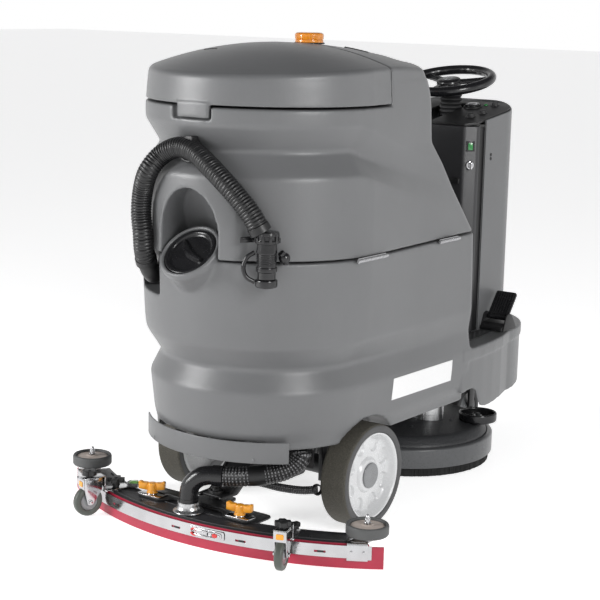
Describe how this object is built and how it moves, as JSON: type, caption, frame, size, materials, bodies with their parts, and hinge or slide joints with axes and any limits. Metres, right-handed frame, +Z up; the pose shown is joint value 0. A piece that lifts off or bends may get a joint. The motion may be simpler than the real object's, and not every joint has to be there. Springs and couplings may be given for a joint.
{
  "type": "ride-on scrubber drier",
  "caption": "Compact ride-on floor scrubber with a rounded tank body, steering column, disc brush deck and a curved rear squeegee on guide rollers.",
  "frame": {"origin": "middle of the footprint on the floor", "axes": "+Y towards the rear squeegee, +X to the machine's left, +Z up"},
  "size_m": [0.8956, 1.329, 1.111],
  "materials": {
    "grey_shell": "satin, fine pebble",
    "dark_plastic": "matt",
    "black_plastic": "satin",
    "black_rubber": "matt",
    "grey_rubber": "matt",
    "tyre_rubber": "matt, fine tread",
    "white_plastic": "semi gloss",
    "stainless": "polished",
    "painted_steel": "satin black",
    "red_rubber": "matt",
    "orange_plastic": "gloss",
    "amber_lens": "clear tinted",
    "green_lens": "gloss",
    "seat_vinyl": "grained vinyl",
    "bristle": "bristle pack"
  },
  "bodies": {
    "chassis": {"chassis_frame": "painted_steel", "lower_tank": "grey_shell", "rear_bumper": "grey_shell", "transaxle": "black_plastic", "platform_mat": "black_rubber", "column_core": "black_plastic", "column_front_shell": "grey_shell", "column_rear_cover": "dark_plastic", "console_panel": "dark_plastic", "steering_bellows": "black_rubber", "left_battery": "black_plastic", "right_battery": "black_plastic", "pedal_base": "black_plastic", "tilt_hinge": "stainless", "suction_hose_upper": "black_rubber"},
    "recovery_tank": {"upper_tank": "grey_shell", "drain_hose": "black_rubber", "drain_nozzle": "black_plastic", "seat_cushion": "seat_vinyl", "seat_back": "seat_vinyl", "vacuum_motor": "dark_plastic", "beacon": "amber_lens"},
    "tank_lid": {"lid": "grey_shell"},
    "left_wheel": {"left_rim": "white_plastic", "left_tyre": "tyre_rubber", "left_half_shaft": "stainless"},
    "right_wheel": {"right_rim": "white_plastic", "right_tyre": "tyre_rubber", "right_half_shaft": "stainless"},
    "hand_wheel": {"steering_wheel": "black_plastic"},
    "shaft": {"steering_shaft": "stainless"},
    "fork": {"front_fork": "painted_steel"},
    "front_wheel": {"front_hub": "dark_plastic", "front_tyre": "black_rubber"},
    "deck": {"brush_deck": "dark_plastic", "brush_motor": "stainless"},
    "brush": {"brush_disc": "bristle"},
    "roller": {"deck_roller": "black_plastic"},
    "arm": {"squeegee_arm": "painted_steel", "suction_hose_lower": "black_rubber"},
    "squeegee": {"squeegee_yoke": "painted_steel", "squeegee_plate": "dark_plastic", "squeegee_band": "stainless", "squeegee_blade": "red_rubber", "suction_elbow": "black_plastic", "left_caster_fork": "stainless", "right_caster_fork": "stainless"},
    "left_guide_wheel": {"left_caster_wheel": "black_rubber"},
    "right_guide_wheel": {"right_caster_wheel": "black_rubber"},
    "left_wall_roller": {"left_side_roller": "grey_rubber"},
    "right_wall_roller": {"right_side_roller": "grey_rubber"},
    "left_wing": {"left_wing_knob": "orange_plastic"},
    "right_wing": {"right_wing_knob": "orange_plastic"},
    "accelerator": {"accelerator_pedal": "black_plastic"},
    "filler_plug": {"filler_cap": "black_plastic"},
    "drain_plug": {"drain_cap": "black_plastic"},
    "rocker": {"rocker_switch": "green_lens"},
    "key": {"ignition_key": "stainless"},
    "knob": {"speed_knob": "stainless"},
    "lever": {"drive_lever": "black_plastic"}
  },
  "joints": [
    {"name": "recovery_tank_tilt", "type": "hinge", "parent": "chassis", "child": "recovery_tank", "pos_m": [-0.2936, 0.33454, 0.634], "axis": [0, -1, 0], "range_deg": [0, 72]},
    {"name": "lid_open", "type": "hinge", "parent": "recovery_tank", "child": "tank_lid", "pos_m": [0, 0.24554, 1.092], "axis": [1, 0, 0], "range_deg": [0, 85]},
    {"name": "left_wheel_spin", "type": "hinge", "parent": "chassis", "child": "left_wheel", "pos_m": [0.24, 0.27054, 0.12], "axis": [1, 0, 0], "continuous": true},
    {"name": "right_wheel_spin", "type": "hinge", "parent": "chassis", "child": "right_wheel", "pos_m": [-0.24, 0.27054, 0.12], "axis": [1, 0, 0], "continuous": true},
    {"name": "steering_wheel_turn", "type": "hinge", "parent": "chassis", "child": "hand_wheel", "pos_m": [0, -0.45746, 0.974], "axis": [0, 0.225, 0.9744], "range_deg": [-140, 140]},
    {"name": "steering_shaft_turn", "type": "hinge", "parent": "chassis", "child": "shaft", "pos_m": [0, -0.47746, 0.6], "axis": [0, 0, 1], "range_deg": [-140, 140]},
    {"name": "front_fork_turn", "type": "hinge", "parent": "chassis", "child": "fork", "pos_m": [0, -0.59746, 0.2], "axis": [0, 0, 1], "range_deg": [-70, 70]},
    {"name": "front_wheel_spin", "type": "hinge", "parent": "fork", "child": "front_wheel", "pos_m": [0, -0.59746, 0.062], "axis": [1, 0, 0], "continuous": true},
    {"name": "deck_lift", "type": "slide", "parent": "chassis", "child": "deck", "axis": [0, 0, 1], "range_m": [0, 0.04]},
    {"name": "brush_spin", "type": "hinge", "parent": "deck", "child": "brush", "pos_m": [0, -0.29046, 0.06], "axis": [0, 0, 1], "continuous": true},
    {"name": "deck_roller_spin", "type": "hinge", "parent": "deck", "child": "roller", "pos_m": [-0.178, -0.37446, 0.112], "axis": [0, 0, 1], "continuous": true},
    {"name": "squeegee_lift", "type": "hinge", "parent": "chassis", "child": "arm", "pos_m": [0, 0.35554, 0.15], "axis": [1, 0, 0], "range_deg": [0, 5.5], "deforming": ["suction_hose_upper"]},
    {"name": "squeegee_swivel", "type": "hinge", "parent": "arm", "child": "squeegee", "pos_m": [0.017, 0.48254, 0.072], "axis": [0, 0, 1], "range_deg": [-10, 10], "deforming": ["suction_hose_lower"]},
    {"name": "left_guide_wheel_spin", "type": "hinge", "parent": "squeegee", "child": "left_guide_wheel", "pos_m": [0.27892, 0.62958, 0.035], "axis": [0.9364, -0.351, 0], "continuous": true},
    {"name": "left_wall_roller_spin", "type": "hinge", "parent": "squeegee", "child": "left_wall_roller", "pos_m": [0.399, 0.48554, 0.08], "axis": [0, 0, 1], "continuous": true},
    {"name": "right_guide_wheel_spin", "type": "hinge", "parent": "squeegee", "child": "right_guide_wheel", "pos_m": [-0.27892, 0.62958, 0.035], "axis": [0.9364, 0.351, 0], "continuous": true},
    {"name": "right_wall_roller_spin", "type": "hinge", "parent": "squeegee", "child": "right_wall_roller", "pos_m": [-0.399, 0.48554, 0.08], "axis": [0, 0, 1], "continuous": true},
    {"name": "left_wing_turn", "type": "hinge", "parent": "squeegee", "child": "left_wing", "pos_m": [0.144, 0.55854, 0.08], "axis": [0, 0, 1], "range_deg": [-180, 180]},
    {"name": "right_wing_turn", "type": "hinge", "parent": "squeegee", "child": "right_wing", "pos_m": [-0.107, 0.55354, 0.08], "axis": [0, 0, 1], "range_deg": [-180, 180]},
    {"name": "accelerator_press", "type": "hinge", "parent": "chassis", "child": "accelerator", "pos_m": [-0.206, -0.40646, 0.378], "axis": [1, 0, 0], "range_deg": [0, 18], "stiffness_Nm_per_rad": 2, "springref_deg": -20.05},
    {"name": "filler_cap_pull", "type": "slide", "parent": "chassis", "child": "filler_plug", "axis": [0, 0.682, 0.7314], "range_m": [0, 0.12]},
    {"name": "drain_cap_pull", "type": "slide", "parent": "recovery_tank", "child": "drain_plug", "axis": [0, 0, -1], "range_m": [0, 0.03]},
    {"name": "rocker_press", "type": "hinge", "parent": "chassis", "child": "rocker", "pos_m": [-0.15627, -0.31019, 0.827], "axis": [0.7071, 0.7071, 0], "range_deg": [-6, 6]},
    {"name": "key_turn", "type": "hinge", "parent": "chassis", "child": "key", "pos_m": [-0.15528, -0.31118, 0.779], "axis": [-0.7071, 0.7071, 0], "range_deg": [0, 90]},
    {"name": "speed_knob_turn", "type": "hinge", "parent": "chassis", "child": "knob", "pos_m": [-0.062, -0.48146, 0.91252], "axis": [0, 0.158, 0.9874], "range_deg": [-135, 135]},
    {"name": "drive_lever_tilt", "type": "hinge", "parent": "chassis", "child": "lever", "pos_m": [0.056, -0.42946, 0.9058], "axis": [1, 0, 0], "range_deg": [-12, 12]}
  ],
  "couplings": [
    {"joint": "steering_shaft_turn", "follows": "steering_wheel_turn", "ratio": 1},
    {"joint": "front_fork_turn", "follows": "steering_wheel_turn", "ratio": 0.5}
  ]
}
